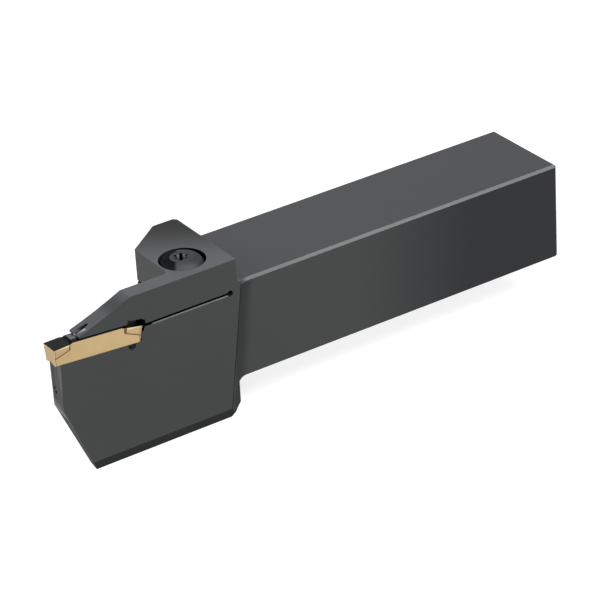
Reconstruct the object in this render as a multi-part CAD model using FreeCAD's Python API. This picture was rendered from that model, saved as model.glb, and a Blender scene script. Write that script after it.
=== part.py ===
import FreeCAD, Part
import math
import os

# A turning tool holder for parting and grooving, in millimetres.
# The square shank lies along X with its axis on the X axis.
# X is 0 at the shank's rear end and the cutting edge is at the far negative end.
# Negative Y is the blade side, and Z is up.

# Shank
shank_width = 25.0
shank_height = 25.0
overall_length = 140.0
shank_chamfer = 0.6

# Head
head_rear = 92.05            # from the rear end to the raised head's rear face
head_rise = 6.35             # head's top above the shank's top
head_drop = 9.25             # head's bottom below the shank's bottom
lower_head_rear = 92.95      # from the rear end to the rear face below the shank
top_fillet = 1.5             # hollow corner between the raised head and the shank's top
bottom_fillet = 2.4          # hollow corner between the lower head and the shank's bottom
heel_length = 2.6            # slanted corner at the foot of the lower rear face
heel_height = 3.3
foot_bevel_height = 2.7      # long bevel along the blade side's bottom edge
foot_bevel_depth = 1.0

# Block that holds the clamping screw, beside the blade
block_front = 107.4          # from the rear end to the block's front face
block_corner_length = 9.2    # slanted front corner on the side away from the blade
block_corner_width = 7.2
block_root_fillet = 1.2      # hollow corner between the blade and the block's front
block_rear_chamfer = 0.8

# Blade and clamping arm
blade_proud = 0.8            # blade side's step out from the shank's side
blade_thickness = 4.2
flare_length = 2.9           # hollow run-out from the blade side to the shank's side
flare_lean = 8.5             # degrees that the run-out leans
flare_place = 92.8           # from the rear end to the run-out's start, at the axis
blade_setback = 0.95         # blade's front edge behind the cutting edge
blade_knee = 3.4             # front knee below the axis
blade_slant = 21.25          # degrees of the lower front, at the blade side
blade_twist = 1.4            # how much steeper the lower front slants at the blade's back
edge_flat_depth = 0.55       # tapered flat on the front's corner, under the insert
edge_flat_width = 1.8
arm_knee = 119.9             # from the rear end to the start of the arm's slope
nose_end = 133.4             # from the rear end to the arm's nose
nose_height = 0.45           # thickness of the nose's end above the insert
slope_hollow = 0.22          # how far the arm's slope dips below a straight line

# Insert, measured along its own length
insert_length = 22.5
insert_tilt = 4.0            # degrees that the insert rises towards the cutting edge
cutting_width = 4.85
insert_body_width = 4.1
insert_depth = 4.1           # from the cutting edges down to the insert's underside
insert_crown = 1.08          # body's top above the cutting edges
insert_rim_drop = 0.5        # slanted rims along both sides of the body's top
insert_rim_width = 0.7
rake_length = 4.0            # from a cutting edge to the foot of the chip wall
rake_rise = 0.42
chip_wall_length = 1.2       # slanted part of the wall, in the middle of the insert
chip_wall_steep = 0.45       # the same beside it, where the wall is steeper
chip_ramp_width = 2.6
end_relief = 6.0             # degrees of both end faces
side_facet_start = 2.4       # relieved side facet's lower edge, at the end face
side_facet_end = 0.9         # the same edge, where the facet ends
side_facet_length = 4.3
seat_vee_height = 0.5
seat_vee_width = 2.6
seat_clearance = 0.03        # between the insert and its seat, all round

# Insert seat
stop_low = 3.0               # face that the insert's rear end meets, below the cutting edge
stop_high = 2.1
stop_gap = 0.65              # room behind the rear cutting edge
rear_relief_front = 18.9     # hollow in the arm over the rear cutting edge, along the insert
rear_relief_height = 2.15    # its top above the cutting edge
floor_relief_place = 20.0    # round relief in the seat's floor, along the insert
floor_relief_radius = 0.95
floor_relief_depth = 0.5     # its middle below the insert's underside

# Slit that lets the arm spring
slit_height = 0.65
slit_below_shank_top = 1.82  # slit's middle below the shank's top
slit_end = 94.14             # from the rear end to the middle of the slit's end hole
slit_end_radius = 0.75
slit_lip = 0.2               # chamfer along the slit's lower lip

# Clamping screw
screw_place = 101.5          # from the rear end to the screw's axis
screw_side = 5.67            # from the shank's middle to the screw's axis, on the blade side
screw_lead = 0.25            # screw's axis ahead of the counterbore's, towards the nose
screw_head_radius = 5.1
screw_pocket_clearance = 0.4
screw_head_below = 0.75      # head's edge below the head's top
screw_head_above = 0.75      # crown above the head's top
screw_flat_radius = 2.6
screw_head_depth = 2.65      # from the head's top down to the screw's bearing face
screw_thread_radius = 2.95
screw_running_clearance = 0.05
screw_free_clearance = 0.3   # in the arm, above the slit
screw_length = 12.0
screw_hole_extra = 0.6
star_socket_radius = 1.85
star_core_radius = 1.3
star_lobe_radius = 0.4
star_depth = 2.2

# Coolant ways
port_radius = 4.28           # core of the pipe thread
port_depth = 10.0
main_duct_radius = 2.5
main_duct_end = 90.0
head_duct_radius = 1.75
cross_duct_place = 95.6      # from the rear end to the cross drilling
cross_duct_radius = 2.0
cross_duct_extra = 0.5       # drilled on past the jets
under_port_place = 62.0      # from the rear end to the port in the shank's underside
arm_duct_radius = 0.65
arm_duct_mouth = 129.2       # from the rear end to where the duct breaks out of the slope
arm_duct_mouth_height = 1.7  # duct's middle above the cutting edge there
arm_duct_fall = 2.5          # degrees that the duct falls towards the cutting edge
arm_duct_start = 95.3
riser_radius = 0.6
riser_foot = 84.0
jet_radius = 0.35
jet_places = ((1.1, 10.95), (1.65, 11.95))   # from the blade's back, below the cutting edge

# Plugs
plug_thread_clearance = 0.03
plug_sink = 0.4              # plug's face below the surface
plug_length = 7.0
plug_hex = 5.0               # across flats
plug_hex_depth = 3.5
duct_plug_radius = 2.5
duct_plug_length = 4.0

# Worked out from the sizes above
half_width = shank_width / 2
half_height = shank_height / 2
head_top = half_height + head_rise
head_bottom = -half_height - head_drop
blade_side = -half_width - blade_proud
blade_back = blade_side + blade_thickness
blade_middle = (blade_side + blade_back) / 2
edge_height = half_height
tilt = math.radians(insert_tilt)
slit_middle = half_height - slit_below_shank_top
slit_top = slit_middle + slit_height / 2
slit_bottom = slit_middle - slit_height / 2
screw_pocket_radius = screw_head_radius + screw_pocket_clearance
screw_seat = head_top - screw_head_depth
screw_hole_radius = screw_thread_radius + screw_running_clearance
reach = half_height * 2.4    # how far cutting shapes run past the part


def vec(x, y, z):
    return FreeCAD.Vector(x, y, z)


def outline(points, place):
    """A closed outline. Each point is (a, b) or (a, b, corner radius)."""
    count = len(points)
    flat = [FreeCAD.Vector(p[0], p[1], 0) for p in points]
    edges = []
    last = None
    first = None
    for i in range(count):
        here = flat[i]
        radius = points[i][2] if len(points[i]) > 2 else 0
        arrive, leave = here, here
        if radius:
            back = (flat[i - 1] - here).normalize()
            on = (flat[(i + 1) % count] - here).normalize()
            half = math.acos(max(-1.0, min(1.0, back.dot(on)))) / 2
            run = radius / math.tan(half)
            arrive = here + back * run
            leave = here + on * run
            middle = (back + on).normalize()
            centre = here + middle * (radius / math.sin(half))
            crest = centre - middle * radius
        if last is not None:
            edges.append(Part.makeLine(place(last), place(arrive)))
        else:
            first = arrive
        if radius:
            edges.append(Part.Arc(place(arrive), place(crest), place(leave)).toShape())
        last = leave
    edges.append(Part.makeLine(place(last), place(first)))
    return Part.Face(Part.Wire(edges))


def side_shape(points, y_low, y_high):
    """Extrudes an outline drawn in X and Z across Y."""
    face = outline(points, lambda p: vec(p.x, y_low, p.y))
    return face.extrude(vec(0, y_high - y_low, 0))


def plan_shape(points, z_low, z_high):
    """Extrudes an outline drawn in X and Y up along Z."""
    face = outline(points, lambda p: vec(p.x, p.y, z_low))
    return face.extrude(vec(0, 0, z_high - z_low))


def rod(radius, start, end):
    return Part.makeCylinder(radius, (end - start).Length, start, end - start)


def seat_point(along, height):
    """X and Z of a point given along the insert from its front edge, and above the edges."""
    x = -overall_length + along * math.cos(tilt) + height * math.sin(tilt)
    z = edge_height - along * math.sin(tilt) + height * math.cos(tilt)
    return x, z


def seat_shape(points, y_low, y_high):
    """Extrudes across Y an outline drawn along and above the insert."""
    return side_shape([seat_point(p[0], p[1]) + tuple(p[2:]) for p in points], y_low, y_high)


def seat_vee(grow, start, end):
    """The long prism under the insert, which the seat's rib fills."""
    low = -insert_depth - grow - 1.0
    crest = -insert_depth - grow + seat_vee_height
    half = seat_vee_width / 2
    corners = ((-half, low), (-half, crest - seat_vee_height), (0, crest),
               (half, crest - seat_vee_height), (half, low))
    points = []
    for across, height in corners:
        x, z = seat_point(start, height)
        points.append(vec(x, blade_middle + across, z))
    points.append(points[0])
    run = vec(math.cos(tilt), 0, -math.sin(tilt)) * (end - start)
    return Part.Face(Part.makePolygon(points)).extrude(run)


def crown_height(x):
    """Height of the insert's body top at x."""
    return edge_height + insert_crown / math.cos(tilt) - (x + overall_length) * math.tan(tilt)


def nose_top():
    return crown_height(-nose_end) + seat_clearance + nose_height


def holder_side():
    """The whole holder seen from the blade side."""
    front = -overall_length + blade_setback
    seat_z = edge_height - insert_depth
    nose_z = nose_top()
    points = [
        (0, -half_height),
        (0, half_height),
        (-head_rear, half_height, top_fillet),
        (-head_rear, head_top),
        (-arm_knee, head_top),
        (-nose_end, nose_z),
        (-nose_end, nose_z - nose_height - insert_crown),
        (front, seat_z + 0.5),
        (front, head_bottom),
        (-lower_head_rear - heel_length, head_bottom),
        (-lower_head_rear, head_bottom + heel_height),
        (-lower_head_rear, -half_height),
    ]
    return side_shape(points, blade_side, half_width)


def holder_plan():
    """The whole holder seen from above."""
    corner_x = -block_front + block_corner_length
    front = -overall_length + blade_setback
    points = [
        (0, blade_side),
        (0, half_width),
        (corner_x, half_width),
        (-block_front, half_width - block_corner_width),
        (-block_front, blade_back, block_root_fillet),
        (front, blade_back),
        (front, blade_side),
    ]
    return plan_shape(points, head_bottom, head_top)


def lower_front_cut():
    """Slants the lower front back, slightly more at the blade's back than at its side."""
    wires = []
    for across in (-0.25, 1.25):
        front = -overall_length + blade_setback
        slope = math.tan(math.radians(blade_slant + blade_twist * across))
        y = blade_side + blade_thickness * across
        low = head_bottom - 1
        foot = front + (-blade_knee - low) * slope
        wires.append(Part.makePolygon([
            vec(front, y, -blade_knee), vec(foot, y, low), vec(front - 2, y, low),
            vec(front - 2, y, -blade_knee), vec(front, y, -blade_knee)]))
    return Part.makeLoft(wires, True, True)


def edge_flat_cut():
    """Tapered flat that takes the corner off the front under the insert."""
    front = -overall_length + blade_setback
    top = edge_height - insert_depth + 1
    low = vec(front, blade_side, -blade_knee)
    inner = vec(front, blade_side + edge_flat_width, top)
    outer = vec(front + edge_flat_depth, blade_side, top)
    tip = vec(front - 1, blade_side - 1, top)
    faces = [triangle([low, inner, outer]), triangle([low, outer, tip]),
             triangle([low, tip, inner]), triangle([inner, tip, outer])]
    return solid_from(faces)


def bottom_fillet_shape():
    """Fills the corner between the lower head's rear face and the shank's underside."""
    r = bottom_fillet
    x, z = -lower_head_rear, -half_height
    corner, low, high = vec(x, -half_width, z), vec(x, -half_width, z - r), vec(x + r, -half_width, z)
    turn = r * (1 - math.sqrt(0.5))
    edges = [Part.makeLine(corner - vec(0.5, 0, -0.5), low - vec(0.5, 0, 0)),
             Part.makeLine(low - vec(0.5, 0, 0), low),
             Part.Arc(low, vec(x + turn, -half_width, z - turn), high).toShape(),
             Part.makeLine(high, high + vec(0, 0, 0.5)),
             Part.makeLine(high + vec(0, 0, 0.5), corner - vec(0.5, 0, -0.5))]
    shape = Part.Face(Part.Wire(edges)).extrude(vec(0, shank_width, 0))
    arcs = [edge for edge in shape.Edges if not isinstance(edge.Curve, Part.Line)]
    return shape.makeChamfer(shank_chamfer, arcs)


def flare_cut():
    """What is milled off to step from the blade side back to the shank's side."""
    radius = (flare_length ** 2 + blade_proud ** 2) / (2 * blade_proud)
    lean = math.radians(flare_lean)
    up = vec(math.sin(lean), 0, math.cos(lean))
    tangent_x = -flare_place + flare_length
    middle = vec(tangent_x, -half_width - radius, 0)
    cutter = rod(radius, middle - up * reach, middle + up * reach)
    slab = Part.makeBox(overall_length, radius, 2 * reach, vec(0, -half_width - radius, -reach))
    slab.rotate(vec(0, 0, 0), vec(0, 1, 0), flare_lean)
    slab.translate(vec(tangent_x, 0, 0))
    return cutter.fuse(slab)


def foot_bevel():
    """Long bevel along the bottom edge of the blade side."""
    low = head_bottom - 1.0
    out = foot_bevel_depth * (foot_bevel_height + 1.0) / foot_bevel_height
    corners = (
        vec(-overall_length - 1, blade_side, head_bottom + foot_bevel_height),
        vec(-overall_length - 1, blade_side + out, low),
        vec(-overall_length - 1, blade_side - 1.0, low),
        vec(-overall_length - 1, blade_side - 1.0, head_bottom + foot_bevel_height),
    )
    face = Part.Face(Part.makePolygon(list(corners) + [corners[0]]))
    return face.extrude(vec(overall_length, 0, 0))


def block_rear_corner():
    """Small upright chamfer on the raised head's far rear corner."""
    size = block_rear_chamfer
    points = [
        (-head_rear - size, half_width),
        (-head_rear, half_width - size),
        (-head_rear + 1, half_width - size),
        (-head_rear + 1, half_width + 1),
        (-head_rear - size, half_width + 1),
    ]
    return plan_shape(points, half_height + top_fillet, head_top + 1)


def slope_dip():
    """Makes the arm's slope slightly hollow along its length."""
    start = vec(-arm_knee, blade_side - 1, head_top)
    end = vec(-nose_end, blade_side - 1, nose_top())
    along = (end - start).normalize()
    down = vec(along.z, 0, -along.x)
    middle = (start + end) * 0.5 + down * (slope_hollow if down.z < 0 else -slope_hollow)
    edges = [Part.Arc(start, middle, end).toShape(), Part.makeLine(end, start)]
    return Part.Face(Part.Wire(edges)).extrude(vec(0, blade_thickness + 2, 0))


def insert_side():
    """Half symmetrical outline of the insert, along and above its cutting edges."""
    low = -insert_depth
    run = insert_depth * math.tan(math.radians(end_relief))
    wall = rake_length + chip_wall_length
    foot = wall - chip_wall_steep
    return [
        (0, 0),
        (rake_length, rake_rise),
        (foot, rake_rise),
        (wall, insert_crown),
        (insert_length - wall, insert_crown),
        (insert_length - foot, rake_rise),
        (insert_length - rake_length, rake_rise),
        (insert_length, 0),
        (insert_length - run, low),
        (run, low),
    ]


def rear_end(below):
    """Place of the insert's rear end along the insert, at a depth below its cutting edge."""
    return insert_length - below * math.tan(math.radians(end_relief))


def seat_cut():
    """The pocket that the insert slides into, with its reliefs."""
    gap = seat_clearance
    low = -insert_depth - gap
    top = insert_crown + gap
    back = insert_length + stop_gap
    points = [
        (-3.0, low),
        (insert_length, low, 0.3),
        (insert_length, -stop_low - 0.4),
        (rear_end(stop_low) + gap, -stop_low),
        (rear_end(stop_high) + gap, -stop_high),
        (back - 0.2, -stop_high + 0.4),
        (back + 0.4, 0),
        (back + 0.3, rear_relief_height - 1.1),
        (insert_length, rear_relief_height - 0.55),
        (rear_relief_front + 1.2, rear_relief_height - 0.4),
        (rear_relief_front, rear_relief_height),
        (rear_relief_front, top),
        (-3.0, top),
    ]
    pocket = seat_shape(points, blade_side - 1, blade_back + 1)
    rib = seat_vee(gap, -2.0, insert_length + 1.0)
    x, z = seat_point(floor_relief_place, -insert_depth - floor_relief_depth)
    relief = rod(floor_relief_radius, vec(x, blade_side - 1, z), vec(x, blade_back + 1, z))
    return pocket.cut(rib).fuse(relief)


def slit_cut():
    """Sawn slit and its end hole, right across the head."""
    start, _ = seat_point(insert_length + stop_gap, 0)
    slot = Part.makeBox(overall_length - slit_end, shank_width + 4, slit_height,
                        vec(-overall_length, -half_width - 2, slit_bottom))
    blocked = Part.makeBox(start + overall_length, shank_width + 4, 2 * slit_height,
                           vec(-overall_length, -half_width - 2, slit_bottom - slit_height / 2))
    hole = rod(slit_end_radius, vec(-slit_end, -half_width - 2, slit_middle),
               vec(-slit_end, half_width + 2, slit_middle))
    return slot.cut(blocked).fuse([hole, slit_lip_cut(start)])


def slit_lip_cut(start):
    """Chamfer along the slit's lower lip, on the blade side."""
    corners = [vec(start, blade_side - 0.1, slit_bottom - slit_lip - 0.1),
               vec(start, blade_side + slit_lip, slit_bottom),
               vec(start, blade_side + slit_lip, slit_bottom + slit_height / 2),
               vec(start, blade_side - 0.1, slit_bottom + slit_height / 2)]
    return Part.Face(Part.makePolygon(corners + [corners[0]])).extrude(vec(-slit_end - start, 0, 0))


def screw_cut():
    """Counterbore, free hole through the arm and threaded hole below the slit."""
    x, y = -screw_place - screw_lead, -screw_side
    hole_end = screw_seat - screw_length - screw_hole_extra
    pocket = rod(screw_pocket_radius, vec(-screw_place, y, screw_seat), vec(-screw_place, y, head_top + 1))
    free = rod(screw_thread_radius + screw_free_clearance, vec(x, y, slit_middle), vec(x, y, screw_seat))
    thread = rod(screw_hole_radius, vec(x, y, hole_end), vec(x, y, slit_middle))
    tip = Part.makeCone(0, screw_hole_radius, screw_hole_radius * 0.6,
                        vec(x, y, hole_end - screw_hole_radius * 0.6))
    return pocket.fuse([free, thread, tip])


def arm_duct_line(x):
    """Point on the arm duct's middle line."""
    mouth_z = edge_height + arm_duct_mouth_height
    z = mouth_z + (x + arm_duct_mouth) * math.tan(math.radians(arm_duct_fall))
    return vec(x, blade_middle, z)


def coolant_cut():
    """Ports and drillings for the coolant."""
    ports = [
        rod(port_radius, vec(-port_depth, 0, 0), vec(0, 0, 0)),
        rod(main_duct_radius, vec(-main_duct_end, 0, 0), vec(-port_depth, 0, 0)),
        rod(port_radius, vec(-under_port_place, 0, -half_height),
            vec(-under_port_place, 0, -half_height + plug_length + plug_sink)),
        rod(main_duct_radius, vec(-under_port_place, 0, -half_height), vec(-under_port_place, 0, 0)),
        rod(head_duct_radius, vec(-cross_duct_place, 0, 0), vec(-main_duct_end, 0, 0)),
    ]
    jet_root = blade_back - max(place[0] for place in jet_places) - jet_radius - cross_duct_extra
    cross = rod(cross_duct_radius, vec(-cross_duct_place, jet_root, 0),
                vec(-cross_duct_place, half_width, 0))
    plug_hole = rod(duct_plug_radius, vec(-cross_duct_place, half_width - duct_plug_length - plug_sink, 0),
                    vec(-cross_duct_place, half_width, 0))
    arm_duct = rod(arm_duct_radius, arm_duct_line(-nose_end - 2), arm_duct_line(-arm_duct_start))
    riser = rod(riser_radius, arm_duct_line(-arm_duct_start), vec(-riser_foot, -main_duct_radius / 2, 0))
    jets = []
    for across, below in jet_places:
        y = blade_back - across
        mouth = vec(-overall_length - 1, y, edge_height - below)
        jets.append(rod(jet_radius, mouth, vec(-cross_duct_place, y, 0)))
    return ports[0].fuse(ports[1:] + [cross, plug_hole, arm_duct, riser] + jets)


def chamfer_shank(shape):
    """Chamfers the shank's long edges and its rear end."""
    chosen = []
    for edge in shape.Edges:
        box = edge.BoundBox
        middle = edge.CenterOfMass
        on_top = abs(abs(middle.z) - half_height) < 0.01 and box.ZLength < 0.01
        on_side = abs(abs(middle.y) - half_width) < 0.01 and box.YLength < 0.01
        at_rear = abs(middle.x) < 0.01 and box.XLength < 0.01
        straight = isinstance(edge.Curve, Part.Line)
        if straight and at_rear and (on_top or on_side):
            chosen.append(edge)
        if straight and on_top and on_side and box.XLength > 1:
            chosen.append(edge)
    return shape.makeChamfer(shank_chamfer, chosen)


def holder_body():
    shape = holder_side().common(holder_plan())
    shape = shape.cut(flare_cut())
    shape = chamfer_shank(shape.removeSplitter())
    shape = shape.fuse(bottom_fillet_shape())
    shape = shape.cut([lower_front_cut(), edge_flat_cut(), foot_bevel(), block_rear_corner(), slope_dip()])
    shape = shape.cut([seat_cut(), slit_cut(), screw_cut(), coolant_cut()])
    return shape


def grooving_insert():
    """Double ended insert that rides on the seat's rib."""
    low_width = insert_body_width / 2
    shape = seat_shape(insert_side(), blade_middle - low_width, blade_middle + low_width)
    wall = rake_length + chip_wall_length
    for along, sign in ((0, 1), (insert_length, -1)):
        ramp = [(along + sign * rake_length, rake_rise), (along + sign * wall, insert_crown),
                (along + sign * wall, 0)]
        half = chip_ramp_width / 2
        shape = shape.fuse(seat_shape(ramp, blade_middle - half, blade_middle + half))
        shape = shape.fuse(cutting_head(along, sign))
    return shape.cut([seat_vee(0, -2.0, insert_length + 2.0), insert_rim(-1), insert_rim(1)])


def insert_rim(side):
    """What is ground off along one side of the body's top, between the cutting heads."""
    half = insert_body_width / 2
    slope = insert_rim_drop / insert_rim_width
    low = insert_crown - insert_rim_drop
    corners = ((half + 0.2, low - 0.2 * slope), (half + 0.2, insert_crown + 0.2),
               (half - insert_rim_width - 0.2 / slope, insert_crown + 0.2))
    points = []
    for across, height in corners:
        x, z = seat_point(-1.0, height)
        points.append(vec(x, blade_middle + side * across, z))
    points.append(points[0])
    run = vec(math.cos(tilt), 0, -math.sin(tilt)) * (insert_length + 2.0)
    return Part.Face(Part.makePolygon(points)).extrude(run)


def cutting_head(along, sign):
    """Wider end of the insert, which narrows below the cutting edge and behind it."""
    half = cutting_width / 2
    root = insert_body_width / 2
    back = side_facet_length
    low_run = side_facet_start * math.tan(math.radians(end_relief))

    # The side facet is one plane, so the rake's rear corner follows from its other corners.
    facet = vec(back - low_run, 0, side_facet_start - side_facet_end)
    full = facet.cross(vec(-low_run, 0, side_facet_start)).Length
    part = facet.cross(vec(rake_length - low_run, 0, side_facet_start + rake_rise)).Length
    rear = root + (half - root) * part / full

    def corner(run, height, across):
        x, z = seat_point(along + sign * run, height)
        return vec(x, blade_middle + across, z)

    def ring(side):
        return [
            corner(0, 0, side * half),
            corner(rake_length, rake_rise, side * rear),
            corner(back, rake_rise, side * root),
            corner(back, -side_facet_end, side * root),
            corner(low_run, -side_facet_start, side * root),
        ]

    left, right = ring(-1), ring(1)
    faces = []
    for side in (left, right):
        faces.append(polygon([side[0], side[1], side[3], side[4]]))
        faces.append(polygon([side[1], side[2], side[3]]))
    for i in range(5):
        j = (i + 1) % 5
        faces.append(polygon([left[i], left[j], right[j], right[i]]))
    return solid_from(faces)


def polygon(points):
    return Part.Face(Part.makePolygon(points + [points[0]]))


def triangle(points):
    return polygon(points)


def solid_from(faces):
    """Closed solid from flat faces, turned the right way out."""
    shell = Part.Shell(faces)
    solid = Part.Solid(shell)
    if solid.Volume < 0:
        solid.reverse()
    return solid


def star_socket(top, x, y):
    """Six lobed socket cut down from the given height."""
    low = vec(x, y, top - star_depth)
    high = vec(x, y, top + 1)
    shape = rod(star_core_radius, low, high)
    ring = star_socket_radius - star_lobe_radius
    for i in range(6):
        turn = math.radians(60 * i)
        shift = vec(ring * math.cos(turn), ring * math.sin(turn), 0)
        shape = shape.fuse(rod(star_lobe_radius, low + shift, high + shift))
    return shape


def clamping_screw():
    """Screw with a domed head, whose crown stands just above the head's top."""
    x, y = -screw_place - screw_lead, -screw_side
    edge_z = head_top - screw_head_below
    crown_z = head_top + screw_head_above
    end_z = screw_seat - screw_length
    tip = 0.6
    rim = (screw_head_radius + screw_flat_radius) / 2 + 0.35
    mid_z = (edge_z + crown_z) / 2 + 0.3
    a = [vec(0, 0, crown_z), vec(screw_flat_radius, 0, crown_z), vec(rim, 0, mid_z),
         vec(screw_head_radius, 0, edge_z), vec(screw_head_radius, 0, screw_seat),
         vec(screw_thread_radius, 0, screw_seat), vec(screw_thread_radius, 0, end_z + tip),
         vec(screw_thread_radius - tip, 0, end_z), vec(0, 0, end_z)]
    edges = [Part.makeLine(a[0], a[1]), Part.Arc(a[1], a[2], a[3]).toShape()]
    for i in range(3, 8):
        edges.append(Part.makeLine(a[i], a[i + 1]))
    edges.append(Part.makeLine(a[8], a[0]))
    shape = Part.Face(Part.Wire(edges)).revolve(vec(0, 0, 0), vec(0, 0, 1), 360)
    shape.translate(vec(x, y, 0))
    return shape.cut(star_socket(crown_z, x, y))


def hex_socket(across, low, high):
    """Six sided prism from low to high."""
    radius = across / 2 / math.cos(math.radians(30))
    axis = (high - low).normalize()
    points = []
    for i in range(6):
        turn = math.radians(60 * i)
        points.append(vec(radius * math.cos(turn), radius * math.sin(turn), 0))
    face = Part.Face(Part.makePolygon(points + [points[0]]))
    face.Placement = FreeCAD.Placement(low, FreeCAD.Rotation(vec(0, 0, 1), axis))
    return face.extrude(high - low)


def port_plug():
    """Threaded plug that closes the port in the shank's underside."""
    low = -half_height + plug_sink
    radius = port_radius - plug_thread_clearance
    x = -under_port_place
    shape = rod(radius, vec(x, 0, low), vec(x, 0, low + plug_length))
    return shape.cut(hex_socket(plug_hex, vec(x, 0, low), vec(x, 0, low + plug_hex_depth)))


def duct_plug():
    """Pressed plug that closes the cross drilling on the side away from the blade."""
    y = half_width - plug_sink
    x = -cross_duct_place
    return rod(duct_plug_radius, vec(x, y - duct_plug_length, 0), vec(x, y, 0))


nodes = {
    "holder_body": holder_body,
    "grooving_insert": grooving_insert,
    "clamping_screw": clamping_screw,
    "port_plug": port_plug,
    "duct_plug": duct_plug,
}

os.makedirs("parts", exist_ok=True)
for name, make in nodes.items():
    shape = make()
    print(name, "solids", len(shape.Solids), "volume", round(shape.Volume, 1), "valid", shape.isValid())
    shape.exportStep("parts/" + name + ".step")
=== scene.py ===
import bpy, math
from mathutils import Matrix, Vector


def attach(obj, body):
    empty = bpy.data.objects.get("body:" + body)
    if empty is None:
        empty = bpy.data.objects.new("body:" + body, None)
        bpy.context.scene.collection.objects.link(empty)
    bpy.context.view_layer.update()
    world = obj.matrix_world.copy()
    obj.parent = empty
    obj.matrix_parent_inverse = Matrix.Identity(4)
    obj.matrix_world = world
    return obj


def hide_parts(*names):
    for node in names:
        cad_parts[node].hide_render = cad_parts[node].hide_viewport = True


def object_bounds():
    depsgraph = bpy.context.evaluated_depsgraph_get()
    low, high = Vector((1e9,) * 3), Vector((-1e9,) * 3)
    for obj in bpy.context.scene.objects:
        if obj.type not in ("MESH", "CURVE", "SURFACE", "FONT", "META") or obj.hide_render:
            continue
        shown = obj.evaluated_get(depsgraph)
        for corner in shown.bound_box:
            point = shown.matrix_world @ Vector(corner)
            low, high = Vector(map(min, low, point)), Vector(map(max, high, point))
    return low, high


# Turning tool holder with a grooving insert. Metres, x runs out of the shank's rear end.
# The finishes are worked out in millimetres, in object coordinates.
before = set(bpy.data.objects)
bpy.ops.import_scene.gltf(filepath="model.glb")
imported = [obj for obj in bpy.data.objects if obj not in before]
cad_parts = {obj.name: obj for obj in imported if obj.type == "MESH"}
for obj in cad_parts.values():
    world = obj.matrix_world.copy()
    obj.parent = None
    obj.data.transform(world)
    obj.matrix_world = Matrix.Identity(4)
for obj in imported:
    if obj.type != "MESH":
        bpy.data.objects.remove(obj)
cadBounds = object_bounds()
print("frame loaded", [round(v, 4) for corner in cadBounds for v in corner])


def deselectAll():
    if bpy.context.object and bpy.context.object.mode != "OBJECT":
        bpy.ops.object.mode_set(mode="OBJECT")
    bpy.ops.object.select_all(action="DESELECT")


def pick(obj):
    deselectAll()
    obj.select_set(True)
    bpy.context.view_layer.objects.active = obj


def applyModifier(obj, kind, **settings):
    pick(obj)
    modifier = obj.modifiers.new(kind.lower(), kind)
    for name, value in settings.items():
        setattr(modifier, name, value)
    bpy.ops.object.modifier_apply(modifier=modifier.name)


skinLook = {
    "weld": 0.000002,
    "flatAngle": 0.8,               # degrees between triangles that make one flat face
    "creaseAngles": (26, 12, 4),    # degrees, for an edge beside no, one or two wide faces
    "segments": 2,
    "normalWeight": 80,
}


def markCreases(mesh, look):
    # A round is made of strips that meet at up to 17 degrees, so a shallower crease counts
    # only beside faces that are too wide to be such strips.
    sides = {}
    for face in mesh.polygons:
        around = sum((mesh.vertices[a].co - mesh.vertices[b].co).length
                     for a, b in face.edge_keys)
        side = (face.normal.copy(), face.area / around > look["wide"])
        for key in face.edge_keys:
            sides.setdefault(key, []).append(side)
    weights = mesh.attributes.new("bevel_weight_edge", "FLOAT", "EDGE")
    for edge in mesh.edges:
        pair = sides.get(tuple(sorted(edge.vertices)), [])
        if len(pair) == 2:
            (first, firstWide), (second, secondWide) = pair
            turn = math.degrees(first.angle(second, 0.0))
            crease = skinLook["creaseAngles"][firstWide + secondWide]
            weights.data[edge.index].value = float(turn > crease)


def skinFrom(nodeName, skinName, look):
    # a merged copy of a CAD node, with its sharp edges softly broken
    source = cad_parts[nodeName]
    deselectAll()
    skin = source.copy()
    skin.data = source.data.copy()
    skin.parent = None
    skin.name = skin.data.name = skinName
    for key in list(skin.keys()):
        del skin[key]
    bpy.context.scene.collection.objects.link(skin)
    pick(skin)
    bpy.ops.object.mode_set(mode="EDIT")
    bpy.ops.mesh.select_all(action="SELECT")
    bpy.ops.mesh.remove_doubles(threshold=skinLook["weld"])
    bpy.ops.mesh.dissolve_limited(angle_limit=math.radians(skinLook["flatAngle"]))
    bpy.ops.object.mode_set(mode="OBJECT")
    markCreases(skin.data, look)
    applyModifier(skin, "BEVEL", width=look["edgeWidth"], segments=skinLook["segments"],
                  limit_method="WEIGHT", use_clamp_overlap=True)
    pick(skin)
    bpy.ops.object.shade_smooth()
    applyModifier(skin, "WEIGHTED_NORMAL", weight=skinLook["normalWeight"], keep_sharp=False)
    return skin


def dress(skin, nodeName, body, material):
    skin.data.materials.clear()
    skin.data.materials.append(material)
    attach(skin, body)
    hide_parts(nodeName)
    skin.data.calc_loop_triangles()
    print(skin.name, len(skin.data.loop_triangles), "triangles")


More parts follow.
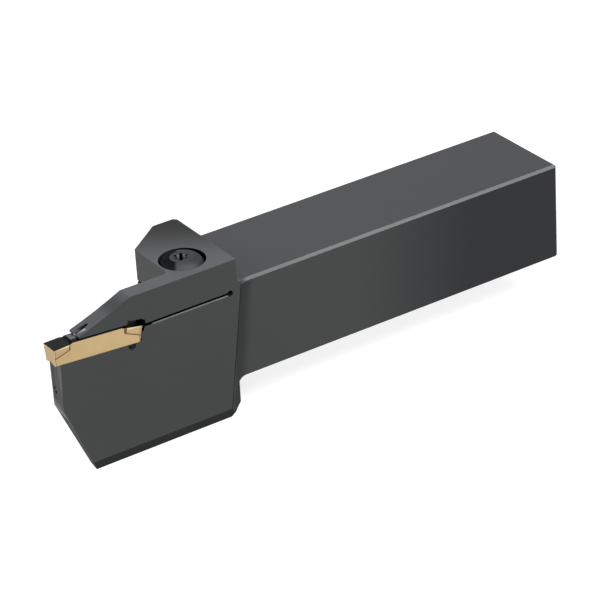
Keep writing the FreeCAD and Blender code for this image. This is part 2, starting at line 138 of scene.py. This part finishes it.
class Wire:
    # one output of a node, so that shader maths reads as plain expressions
    def __init__(self, tree, link):
        self.tree, self.link = tree, link

    def calc(self, operation, *others):
        return self.tree.add("ShaderNodeMath", {"operation": operation},
                             dict(enumerate((self, *others))))

    def __add__(self, other):
        return self.calc("ADD", other)

    def __sub__(self, other):
        return self.calc("SUBTRACT", other)

    def __rsub__(self, other):
        return self.calc("MULTIPLY_ADD", -1.0, other)

    def __mul__(self, other):
        return self.calc("MULTIPLY", other)

    __radd__ = __add__
    __rmul__ = __mul__

    def size(self):
        return self.calc("ABSOLUTE")

    def least(self, other):
        return self.calc("MINIMUM", other)

    def most(self, other):
        return self.calc("MAXIMUM", other)

    def toward(self, value, share):
        # this value, moved to another one by a share from 0 to 1
        return self + (value - self) * share

    def spread(self, amount):
        # a noise from 0 to 1 as a change to both sides of 0
        return (self - 0.5) * amount

    def rise(self, low, high):
        # 0 below low and 1 above high, or the other way round where low is the larger
        first, last = (0.0, 1.0) if low < high else (1.0, 0.0)
        return self.tree.add("ShaderNodeMapRange",
                             {"interpolation_type": "SMOOTHSTEP", "clamp": True},
                             {"Value": self, "From Min": min(low, high),
                              "From Max": max(low, high), "To Min": first, "To Max": last})

    def band(self, start, full, wane, end):
        # 1 between full and wane, 0 outside start and end
        return self.rise(start, full) * self.rise(end, wane)

    def near(self, value, inner, outer):
        # 1 within inner of a value, 0 farther off than outer
        return (self - value).size().rise(outer, inner)


def distance(dx, dy):
    return (dx * dx + dy * dy).calc("SQRT")


class Finish:
    # the node tree of a material, or of the world
    def __init__(self, name, store=bpy.data.materials):
        self.owner = store.new(name)
        self.owner.use_nodes = True
        self.nodes = self.owner.node_tree.nodes
        self.links = self.owner.node_tree.links
        self.nodes.clear()

    def add(self, kind, settings=None, sockets=None, out=0):
        node = self.nodes.new(kind)
        for name, value in (settings or {}).items():
            setattr(node, name, value)
        for name, value in (sockets or {}).items():
            if isinstance(value, Wire):
                self.links.new(value.link, node.inputs[name])
            else:
                node.inputs[name].default_value = value
        return Wire(self, node.outputs[out])

    def place(self):
        # object coordinates in millimetres
        metres = self.add("ShaderNodeTexCoord", out="Object")
        return self.add("ShaderNodeVectorMath", {"operation": "SCALE"},
                        {0: metres, "Scale": 1000.0})

    def normal(self):
        return self.add("ShaderNodeTexCoord", out="Normal")

    def along(self, vector, direction):
        return self.add("ShaderNodeVectorMath", {"operation": "DOT_PRODUCT"},
                        {0: vector, 1: direction}, "Value")

    def axes(self, vector):
        return [self.along(vector, axis) for axis in ((1, 0, 0), (0, 1, 0), (0, 0, 1))]

    def noise(self, vector, scale, detail=3.0, stretch=(1.0, 1.0, 1.0)):
        mapped = self.add("ShaderNodeMapping", None, {"Vector": vector, "Scale": stretch})
        return self.add("ShaderNodeTexNoise", None,
                        {"Vector": mapped, "Scale": scale, "Detail": detail})

    def turned(self, place, radius, rings, scale, sway):
        # turning marks, as rings that waver a little
        waver = self.noise(place, scale, 2.0) * sway
        return (radius * rings + waver).calc("SINE") * 0.5 + 0.5

    def mix(self, share, first, second, blend="MIX"):
        return self.add("ShaderNodeMix", {"data_type": "RGBA", "blend_type": blend},
                        {0: share, 6: first, 7: second}, 2)

    def shades(self, colour, tone):
        # one colour made lighter or darker by a number
        grey = self.add("ShaderNodeCombineColor", None, {0: tone, 1: tone, 2: tone})
        return self.mix(1.0, grey, colour, "MULTIPLY")

    def seen(self):
        # 1 for what the camera sees directly, in a reflection or through glass
        rays = [self.add("ShaderNodeLightPath", out=name)
                for name in ("Is Camera Ray", "Is Glossy Ray", "Is Transmission Ray")]
        return (rays[0] + rays[1] + rays[2]).least(1.0)

    def bumps(self, height, strength, depth):
        return self.add("ShaderNodeBump", None,
                        {"Height": height, "Strength": strength, "Distance": depth})

    def surface(self, sockets, shadeMatt=None):
        # the share where the gloss is taken out, to deepen painted shade
        shader = self.add("ShaderNodeBsdfPrincipled", None, sockets)
        if shadeMatt is not None:
            matt = self.add("ShaderNodeBsdfPrincipled", None, {
                "Base Color": sockets["Base Color"], "Specular IOR Level": 0.0,
                "Roughness": 1.0})
            shader = self.add("ShaderNodeMixShader", None, {0: shadeMatt, 1: shader, 2: matt})
        return self.close(shader)

    def close(self, shader, output="ShaderNodeOutputMaterial"):
        self.links.new(shader.link, self.nodes.new(output).inputs["Surface"])
        return self.owner


def rgb(red, green, paintedCoolTint):
    # a screen colour, 0 to 255, as the linear colour that a socket takes
    return tuple(v / 3294.6 if v <= 10.3 else ((v / 255 + 0.055) / 1.055) ** 2.4
                 for v in (red, green, paintedCoolTint)) + (1.0,)


holderLook = {
    "steel": (61, 63, 62),      # near side of the head
    "steelPaintedTint": (61, 62, 65),   # painted cooler tint of the light, on top and at the rear
    "roughness": 0.42,
    "metal": 0.6,
    "sheen": 0.3,               # specular level of the oxide film
    "wear": 0.25,               # how much lighter the worn edges are
    "edgeWidth": 0.0001,
    "wide": 0.0008,             # a face wider than this is a flat, not a strip of a round
    # painted light and shade: brightness of the other faces, against the head's near side
    "paintedTones": {
        "shankRear": 0.40, "shankTop": 0.95, "shankTopRear": 0.81, "headTopNear": 1.8,
        "headTopFar": 0.1, "slopeEnds": 1.65, "slopeMiddle": 0.95, "front": 0.4,
        "frontNear": 0.45, "corner": 1.95, "chamfer": 0.82, "under": 0.72,
        "lowerFront": 1.5, "flareShade": 0.1, "recessShade": 0.06, "bore": 0.7, "grooveHighlight": 7.0,
    },
    # all below is in millimetres; four numbers are where a mask starts, is full, wanes, ends
    "half": 12.5,               # half of the square shank
    "shankStart": -91.5,        # x where the shank begins behind the head
    "shankFade": (-66.0, -20.0),    # x where its near side is painted darker
    "topFade": (-70.0, 0.0),
    "headTop": 18.85,
    "headRear": -92.05,
    "nearSide": -13.3,          # y of the head's near side
    "farCorner": (-93.0, 0.667),    # x and lean of the line along which the top is painted darker
    "farFade": (-14.0, 10.0),
    "slope": -119.9,            # x where the arm's slope starts
    "slopeRate": 0.404,         # its fall for each millimetre
    "slopeDark": -123.3,        # x where its painted shade is darkest
    "flareFoot": -92.8,         # x of the flare's start at the shank's middle height
    "flareLean": 0.1495,        # how far it leans back for each millimetre of height
    "flareReach": (-0.3, -0.2, 0.0, 4.4),
    "bladeFront": -130.5,       # x past which only the blade's front and the nose reach
    "bladeMiddle": -11.2,       # y of the insert and the jets
    "frontNear": -10.8,         # y up to which the blade's front is painted lighter
    "slitHeight": 10.675,
    "slitEnd": -92.6,
    "bore": (-101.5, -5.67),    # x and y of the screw's counterbore
    "boreRadius": 5.5,
    "boreFloor": 14.0,
    "boreNose": (0.831, -0.556),    # direction away from its painted lighter side
    "pocketHeight": 11.4,
    "pocketReach": (-133.3, -133.0, -115.0, -114.5),
    "jetsStart": -136.0,
    "jetsHeight": 3.0,
    "grooveSide": (0.389, 0.921, 0),    # direction across the coolant groove
    "grooveMiddle": -62.29,     # and its middle in that direction
    "grooveFloor": 12.6,
    "grooveReach": (-133.9, -133.5, -131.4, -130.8),
    "ductReach": (-132.9, -132.3, -128.8, -128.2),
    "ductAcross": (0.4, 0.65, 1.7, 1.9),
    "ductDepth": (0.35, 0.55, 1.6, 1.8),
    "shankWear": 0.45,          # reach of the wear from an edge
    "headWear": 0.4,
}


def edgeLines(finish, place, planes, reach):
    # 1 on the lines where two of the planes meet, fading out over the reach
    total = squares = 0.0
    for direction, offset in planes:
        near = finish.along(place, direction).near(offset, 0.0, reach)
        total, squares = near + total, near * near + squares
    return ((total * total - squares) * 0.5).least(1.0)


def holderWear(finish, place, x, look):
    half = look["half"]
    shank = [((1, 0, 0), 0.0), ((0, 1, 0), half), ((0, 1, 0), -half),
             ((0, 0, 1), half), ((0, 0, 1), -half)]
    head = [((0, 0, 1), look["headTop"]), ((0, 1, 0), look["nearSide"]),
            ((1, 0, 0), look["headRear"])]
    onShank = x.rise(look["shankStart"] - 0.5, look["shankStart"] + 0.5)
    worn = edgeLines(finish, place, shank, look["shankWear"]) * onShank
    worn = worn + edgeLines(finish, place, head, look["headWear"]) * (1.0 - onShank)
    return worn * finish.noise(place, 0.9).rise(0.35, 0.7)


def holderSteel(look):
    finish = Finish("holderSteel")
    paintedTones = look["paintedTones"]
    place, normal = finish.place(), finish.normal()
    x, y, z = finish.axes(place)
    facingUp = finish.along(normal, (0, 0, 1))
    facingBack = finish.along(normal, (1, 0, 0))
    facingNear = finish.along(normal, (0, -1, 0))

    # each mask is 1 on its faces
    top = facingUp.rise(0.8, 0.93)
    slant = facingUp.band(0.4, 0.55, 0.8, 0.88) * facingNear.size().rise(0.4, 0.55)
    slope = x.rise(look["slope"] + 0.3, look["slope"] - 0.3) * top
    headTop = x.rise(look["slope"] - 0.3, look["slope"] + 0.3) * top
    headTop = headTop * z.rise(look["headTop"] - 1.25, look["headTop"] - 0.65)
    blade = x.rise(look["bladeFront"] + 0.5, look["bladeFront"] - 0.5)
    front = facingBack.rise(-0.985, -0.998)
    under = facingUp.rise(-0.2, -0.3)

    # painted shade: the shank's near side darkens towards its rear
    rearShade = x.rise(*look["shankFade"]) * facingNear.rise(0.8, 0.93)
    tone = rearShade * (paintedTones["shankRear"] - 1.0) + 1.0
    # the flare's boundary leans back on its way up, and the flare is painted darkest beside
    # it, as painted shade
    flareShade = (x - z * look["flareLean"] - look["flareFoot"]).band(*look["flareReach"])
    tone = tone.toward(paintedTones["flareShade"], flareShade * facingNear.rise(0.4, 0.6))
    # painted light and shade on the blade's front, its near facet and its corner
    tone = tone.toward(paintedTones["corner"], facingBack.rise(-0.3, -0.5) * blade)
    frontNear = y.rise(look["frontNear"] + 0.1, look["frontNear"] - 0.1) * blade
    tone = tone.toward(frontNear * paintedTones["frontNear"] + paintedTones["front"], front)
    # painted shade: the shank's top darkens towards its rear
    darker = x.rise(*look["topFade"]) * (paintedTones["shankTopRear"] - paintedTones["shankTop"])
    tone = tone.toward(darker + paintedTones["shankTop"], top)
    # painted shade: the head's top darkens from its near edge to the far corner
    cornerX, cornerLean = look["farCorner"]
    farShade = (y + (x - cornerX) * cornerLean).rise(*look["farFade"])
    darker = farShade * (paintedTones["headTopFar"] - paintedTones["headTopNear"])
    tone = tone.toward(darker + paintedTones["headTopNear"], headTop)
    # painted shade along the arm's slope, darkest near its start and lighter towards both ends
    brighter = (x - look["slopeDark"]).size().rise(0.3, 3.6)
    brighter = brighter * (paintedTones["slopeEnds"] - paintedTones["slopeMiddle"])
    tone = tone.toward(brighter + paintedTones["slopeMiddle"], slope)
    # painted highlight on the near wall of the coolant groove in the nose
    across = finish.along(place, look["grooveSide"]) - look["grooveMiddle"]
    grooveHighlight = across.near(0.0, 0.3, 0.45) * x.band(*look["grooveReach"])
    grooveHighlight = grooveHighlight * z.rise(look["grooveFloor"], look["grooveFloor"] + 0.2)
    tone = tone.toward(paintedTones["grooveHighlight"], grooveHighlight * facingUp.rise(-0.2, 0.0))
    # painted light and shade: the chamfers, the undersides and the lower front get
    # brightnesses of their own
    tone = tone.toward(paintedTones["chamfer"], slant)
    tone = tone.toward(paintedTones["under"], under)
    tone = tone.toward(paintedTones["lowerFront"], under * facingBack.rise(-0.7, -0.85))

    # painted shade: slit, counterbore wall, pocket behind the insert, jets and duct are
    # painted black
    recessShade = z.near(look["slitHeight"], 0.36, 0.42)
    recessShade = recessShade * y.rise(look["nearSide"] + 0.1, look["nearSide"] + 0.4)
    recessShade = recessShade * x.rise(look["slitEnd"], look["slitEnd"] - 0.3)
    dx, dy = x - look["bore"][0], y - look["bore"][1]
    bore = distance(dx, dy).near(look["boreRadius"], 0.06, 0.12)
    bore = bore * facingUp.size().rise(0.6, 0.3)
    bore = bore * z.rise(look["boreFloor"], look["boreFloor"] + 1.0)
    # the counterbore's side towards the nose is painted lighter
    noseSide = (dx * look["boreNose"][0] + dy * look["boreNose"][1]).rise(0.0, -4.0)
    tone = tone.toward(paintedTones["bore"], bore)
    bore = bore * (1.0 - noseSide)
    pocket = x.band(*look["pocketReach"]) * z.near(look["pocketHeight"], 2.0, 2.2)
    pocket = pocket * y.near(look["bladeMiddle"], 2.05, 2.09)
    jets = x.rise(look["jetsStart"], look["jetsStart"] - 1.0)
    jets = jets * facingBack.size().rise(0.6, 0.4)
    jets = jets * z.rise(look["jetsHeight"], look["jetsHeight"] - 1.0)
    jets = jets * y.near(look["bladeMiddle"], 1.5, 1.7)
    # painted shade on the far wall of the coolant groove, below the line of the slope
    below = (x - look["slope"]) * look["slopeRate"] + look["headTop"] - z
    duct = below.band(*look["ductDepth"]) * x.band(*look["ductReach"])
    duct = duct * across.band(*look["ductAcross"])
    shadedRecesses = recessShade.most(bore).most(pocket).most(jets).most(duct)
    tone = tone.toward(paintedTones["recessShade"], shadedRecesses)

    cloud = finish.noise(place, 0.06)
    grain = finish.noise(place, 3.2)
    lines = finish.noise(place, 2.4, 2.0, (0.05, 1.0, 1.0))     # milling lines along x
    worn = holderWear(finish, place, x, look)
    tone = tone * (1.0 + cloud.spread(0.10) + grain.spread(0.12) + lines.spread(0.08))
    tone = tone + worn * look["wear"]
    # painted cooler tint of the light on the top faces, the chamfers and the rear of the near
    # side
    paintedCoolTint = top.most(slant * 0.5).most(rearShade)
    colour = finish.mix(paintedCoolTint, rgb(*look["steel"]), rgb(*look["steelPaintedTint"]))
    roughness = look["roughness"] + grain.spread(0.10) + cloud.spread(0.08) - worn * 0.08
    # painted shade: recesses, undersides and the blade's front have their gloss taken out, so
    # that they render darker
    shadeMatt = shadedRecesses.most(under * 0.85).most(front * blade * 0.3)
    return finish.surface({
        "Base Color": finish.shades(colour, tone),
        "Metallic": look["metal"],
        "Specular IOR Level": look["sheen"],
        "Roughness": roughness,
        "Normal": finish.bumps(grain * 0.7 + lines * 0.3, 0.2, 0.00001),
    }, shadeMatt)


holderSkin = skinFrom("holder_body", "holderSkin", holderLook)
dress(holderSkin, "holder_body", "holder", holderSteel(holderLook))


insertLook = {
    "gold": (190, 164, 122),
    "dark": (44, 45, 47),       # rakes
    "core": (24, 25, 27),       # painted shadow on the body's top and underside and on the rear head
    "wall": (112, 114, 118),    # light grey crown in front of the arm, on the front head only
    "line": (104, 66, 30),      # painted shade lines where two facets meet
    "edgeHighlight": (236, 218, 176),    # painted highlight along the thin edges
    "roughness": 0.42,
    "metal": 0.7,               # of the coating
    "sheen": 0.2,
    "tint": (0.6, 0.6, 0.6, 1.0),   # less mirror image at a flat angle
    "edgeWidth": 0.00004,
    "wide": 0.0,
    "tilt": 4.0,                # degrees
    "relief": 6.0,              # degrees by which the end faces fall back
    # all below is in millimetres
    "edge": (-140.0, -11.2, 12.5),  # middle of the front cutting edge
    "length": 22.5,
    "headLength": 4.15,         # from the cutting edge to the step behind the head
    "facet": (0.252, -2.4),     # the lower facet's start, along and above
    "facetNormal": (-0.3475, 0.9377),
}


def insertCoating(look):
    finish = Finish("insertCoating")
    place, normal = finish.place(), finish.normal()
    tilt = math.radians(look["tilt"])
    cosine, sine = math.cos(tilt), math.sin(tilt)
    edgeX, edgeY, edgeZ = look["edge"]
    # along the insert from its front edge, above its cutting edges, and across it
    run = finish.along(place, (cosine, 0, -sine)) - (edgeX * cosine - edgeZ * sine)
    rise = finish.along(place, (sine, 0, cosine)) - (edgeX * sine + edgeZ * cosine)
    across = (finish.along(place, (0, 1, 0)) - edgeY).size()
    front = run.rise(12.0, 11.0)            # 1 on the front half
    run = run.least(look["length"] - run)   # now from the nearer end
    facingTop = finish.along(normal, (sine, 0, cosine))
    facingSide = finish.along(normal, (0, 1, 0)).size()
    onSide = facingSide.rise(0.7, 0.9)

    grain = finish.noise(place, 5.0)
    cloud = finish.noise(place, 0.35)
    dark = facingTop.rise(0.2, 0.4).most(facingTop.rise(-0.5, -0.8))
    dark = dark.most(across.rise(1.95, 1.75) * rise.rise(0.25, 0.45))
    wall = run.rise(4.9, 5.15) * across.rise(1.35, 1.15) * rise.rise(0.75, 0.95) * front
    alongNormal, aboveNormal = look["facetNormal"]
    facet = (run - look["facet"][0]) * alongNormal + (rise - look["facet"][1]) * aboveNormal
    facet = facet.size().rise(0.2, 0.08) * run.rise(4.4, 4.2)
    # wider on the rear head
    step = (run - look["headLength"]).size() - (1.0 - front) * 0.12
    step = step.rise(0.26, 0.16) * rise.rise(-1.0, -0.85)
    foot = rise.rise(-3.85, -4.05)
    # distance behind the slanted end face
    behind = run + rise * math.tan(math.radians(look["relief"]))
    corner = behind.band(0.1, 0.18, 0.24, 0.36)
    # painted shade along the facet edges, the step behind each head, the end corners and the
    # foot
    lines = (facet.most(step).most(corner) * onSide).most(foot * 0.3)
    # painted highlight along the cutting edge and the end faces
    edgeHighlight = rise.rise(-0.16, -0.04) * run.rise(4.4, 4.1)
    edgeHighlight = edgeHighlight.most(behind.rise(0.16, 0.1) * onSide) * (1.0 - step)
    shaded = (run.rise(5.4, 3.6) * front * 0.07).most(facingSide.rise(0.5, 0.3) * 0.03)
    goldTone = 1.0 - shaded + cloud.spread(0.16) + grain.spread(0.14)
    gold = finish.shades(rgb(*look["gold"]), goldTone)
    gold = finish.mix(lines * 0.9, gold, rgb(*look["line"]))
    gold = finish.mix(edgeHighlight * 0.7, gold, rgb(*look["edgeHighlight"]))
    # painted shadow behind the front head and over the whole rear head
    core = run.rise(4.2, 4.5).most(1.0 - front)
    black = finish.mix(core, rgb(*look["dark"]), rgb(*look["core"]))
    black = finish.shades(black, 1.0 + grain.spread(0.3))
    black = finish.mix(wall, black, rgb(*look["wall"]))
    return finish.surface({
        "Base Color": finish.mix(dark, gold, black),
        "Metallic": dark * (1.0 - look["metal"]) + look["metal"],
        "Specular IOR Level": look["sheen"],
        "Specular Tint": look["tint"],
        "Roughness": look["roughness"] + grain.spread(0.12) - dark * 0.06,
        "Normal": finish.bumps(grain, 0.15, 0.000005),
    })


insertSkin = skinFrom("grooving_insert", "insertSkin", insertLook)
dress(insertSkin, "grooving_insert", "insert", insertCoating(insertLook))


screwLook = {
    "steel": (66, 67, 69),
    "paintedShade": (22, 23, 24),      # painted shade on the nose side of the dome
    "flat": (62, 64, 66),       # flat top round the socket
    # painted light on the skirt that shows in the gap round the head
    "litSkirt": (110, 112, 114),
    "litRidge": (120, 122, 125),   # painted light on the ridges between the socket's lobes
    # painted shade in the socket's lobes
    "lobeShade": (12, 12, 13),
    "roughness": 0.62,
    "metal": 0.6,
    "sheen": 0.15,
    "tint": (0.6, 0.6, 0.6, 1.0),
    "edgeWidth": 0.00005,
    "wide": 1.0,
    # all below is in millimetres
    "place": (-101.75, -5.67),
    "nearer": (-0.556, -0.831),     # direction of the dome's painted lighter side
    "shankward": (0.831, -0.556),   # direction of its painted darker side
    "skirtRadius": 4.95,
    "socketRadius": 1.98,
    "socketTop": 19.57,
    "wornRadius": 2.6,
}


def screwSteel(look):
    finish = Finish("screwSteel")
    place, normal = finish.place(), finish.normal()
    x, y, z = finish.axes(place)
    dx, dy = x - look["place"][0], y - look["place"][1]
    radius = distance(dx, dy)
    facingUp = finish.along(normal, (0, 0, 1))
    standing = facingUp.rise(0.5, 0.2)
    grain = finish.noise(place, 4.5)
    marks = finish.turned(place, radius, 34.0, 0.6, 6.0)

    flat = facingUp.rise(0.96, 0.99) * z.rise(19.2, 19.4)
    # painted light on the skirt in the gap round the head
    litSkirt = radius.rise(look["skirtRadius"], look["skirtRadius"] + 0.1) * standing
    # painted shade in the socket
    socket = radius.rise(look["socketRadius"], look["socketRadius"] - 0.08)
    socket = socket * z.rise(look["socketTop"], look["socketTop"] - 0.05)
    litRidge = standing * radius.rise(1.5, 1.4) * z.rise(18.0, 19.2)
    # painted shade over the dome's nose side
    paintedShade = (dx - dy * 0.65 + 1.4).rise(0.7, -0.5) * radius.rise(2.55, 2.7)
    colour = finish.mix(flat, rgb(*look["steel"]), rgb(*look["flat"]))
    colour = finish.mix(paintedShade, colour, rgb(*look["paintedShade"]))
    colour = finish.mix(litSkirt, colour, rgb(*look["litSkirt"]))
    colour = finish.mix(socket, colour, rgb(*look["lobeShade"]))
    colour = finish.mix(litRidge, colour, rgb(*look["litRidge"]))
    # painted light and shade: the dome is lightest low on its near side and darker towards the
    # shank
    light = (dx * look["nearer"][0] + dy * look["nearer"][1]).rise(1.5, 4.8) * 0.25
    dusk = (dx * look["shankward"][0] + dy * look["shankward"][1]).rise(1.0, 4.5) * 0.35
    tone = 1.0 + (light - dusk) + grain.spread(0.16) + marks.spread(0.06)
    worn = finish.noise(place, 1.2).rise(0.4, 0.7) * radius.near(look["wornRadius"], 0.05, 0.3)
    # the painted shade and the socket's floor are made fully metallic, so that they render
    # darker
    darkest = paintedShade.most(socket * facingUp.size())
    return finish.surface({
        "Base Color": finish.shades(colour, tone + worn * 0.3),
        "Metallic": look["metal"] + darkest * (1.0 - look["metal"]),
        "Specular IOR Level": look["sheen"],
        "Specular Tint": look["tint"],
        "Roughness": look["roughness"] + grain.spread(0.12),
        "Normal": finish.bumps(grain * 0.6 + marks * 0.4, 0.15, 0.000006),
    })


screwSkin = skinFrom("clamping_screw", "screwSkin", screwLook)
dress(screwSkin, "clamping_screw", "screw", screwSteel(screwLook))


plugLook = {
    "steel": (84, 85, 87),
    "sealant": (108, 62, 50),   # thread sealant round the rim of the larger plug
    # painted shade inside the plug's socket
    "socket": (14, 14, 15),
    "roughness": 0.4,
    "metal": 0.7,
    "sheen": 0.3,
    "port": (-62.0, 0.0),       # x and y of the larger plug in millimetres
    "portRadius": 4.28,
}


def plugSteel(look):
    finish = Finish("plugSteel")
    place, normal = finish.place(), finish.normal()
    x, y = finish.axes(place)[:2]
    radius = distance(x - look["port"][0], y - look["port"][1])
    facingDown = finish.along(normal, (0, 0, -1))
    grain = finish.noise(place, 4.0)
    marks = finish.turned(place, radius, 28.0, 0.7, 5.0)
    edge = look["portRadius"]
    rim = radius.band(edge - 0.5, edge - 0.2, edge + 0.3, edge + 0.6)
    rim = rim * (grain + finish.noise(place, 0.8)).rise(0.9, 1.15)
    # painted shade on the socket's walls and floor
    inner = facingDown.rise(0.6, 0.4) * radius.rise(edge - 1.0, edge - 1.2)
    colour = finish.mix(rim * 0.6, rgb(*look["steel"]), rgb(*look["sealant"]))
    colour = finish.mix(inner, colour, rgb(*look["socket"]))
    return finish.surface({
        "Base Color": finish.shades(colour, 1.0 + grain.spread(0.2) + marks.spread(0.08)),
        "Metallic": look["metal"],
        "Specular IOR Level": look["sheen"],
        "Roughness": look["roughness"] + grain.spread(0.14) + rim * 0.2,
        "Normal": finish.bumps(grain * 0.5 + marks * 0.5, 0.2, 0.00001),
    })


plugFinish = plugSteel(plugLook)
for name in ("port_plug", "duct_plug"):
    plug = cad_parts[name].data
    plug.materials.clear()
    plug.materials.append(plugFinish)
print("plugs finished")


stageLook = {
    "paper": 0.3,           # how much of the floor's white comes from the lamps
    "glow": 0.82,           # strength of its own white
    "world": 0.5,           # how strongly the white round it lights the object
    "floorSize": 4.0,
    "floorGap": 0.00005,    # below the part's lowest point
    "middle": (-0.07, 0.0, 0.0),    # what the lamps point at
    "lamps": [
        # place, size and power
        ((0.30, -0.42, 0.55), 0.30, 5.0),
        ((-0.60, -0.30, 0.50), 0.60, 3.0),
        ((-0.62, 0.60, 0.16), 0.60, 3.5),
    ],
}

deselectAll()
bpy.ops.mesh.primitive_plane_add(size=stageLook["floorSize"], location=(
    stageLook["middle"][0], 0, cadBounds[0][2] - stageLook["floorGap"]))
floor = bpy.context.object
floor.name = "floor"


def whitePaper(look):
    finish = Finish("whitePaper")
    grey = (look["paper"],) * 3 + (1.0,)
    paper = finish.add("ShaderNodeBsdfDiffuse", None, {"Color": grey})
    glow = finish.add("ShaderNodeEmission", None,
                      {"Color": (1, 1, 1, 1), "Strength": look["glow"]})
    lit = finish.add("ShaderNodeAddShader", None, {0: paper, 1: glow})
    shown = finish.add("ShaderNodeMixShader", None, {0: finish.seen(), 1: paper, 2: lit})
    return finish.close(shown)


floor.data.materials.append(whitePaper(stageLook))


def whiteStudio(look):
    # seen and mirrored at full white, but lighting the object only softly
    finish = Finish("studio", bpy.data.worlds)
    white = {"Color": (1, 1, 1, 1)}
    soft = finish.add("ShaderNodeBackground", None, {**white, "Strength": look["world"]})
    full = finish.add("ShaderNodeBackground", None, {**white, "Strength": 1.0})
    mixed = finish.add("ShaderNodeMixShader", None, {0: finish.seen(), 1: soft, 2: full})
    return finish.close(mixed, "ShaderNodeOutputWorld")


bpy.context.scene.world = whiteStudio(stageLook)


def addLamp(place, target, size, power):
    deselectAll()
    bpy.ops.object.light_add(type="AREA", location=place)
    lamp = bpy.context.object
    lamp.data.shape = "DISK"
    lamp.data.size = size
    lamp.data.energy = power
    away = [p - t for p, t in zip(place, target)]
    flat = math.hypot(away[0], away[1])
    lamp.rotation_euler = (math.atan2(flat, away[2]), 0, math.atan2(away[0], -away[1]))


for place, size, power in stageLook["lamps"]:
    addLamp(place, stageLook["middle"], size, power)
print("stage and", len(stageLook["lamps"]), "lamps")


cameraLook = {
    "place": (-0.3984, -0.5281, 0.3382),
    "turn": (61.0285, 3.1543, -33.8282),    # degrees about x, y and z
    "lens": 181.15,         # millimetres, as the sensor's width
    "sensor": 36.0,
    "clip": (0.01, 20.0),
}
deselectAll()
bpy.ops.object.camera_add(location=cameraLook["place"],
                          rotation=[math.radians(v) for v in cameraLook["turn"]])
camera = bpy.context.object
camera.name = "photoCamera"
camera.data.lens = cameraLook["lens"]
camera.data.sensor_width = cameraLook["sensor"]
camera.data.clip_start, camera.data.clip_end = cameraLook["clip"]
bpy.context.scene.camera = camera
bpy.context.scene.view_settings.view_transform = "Standard"
print("camera placed")
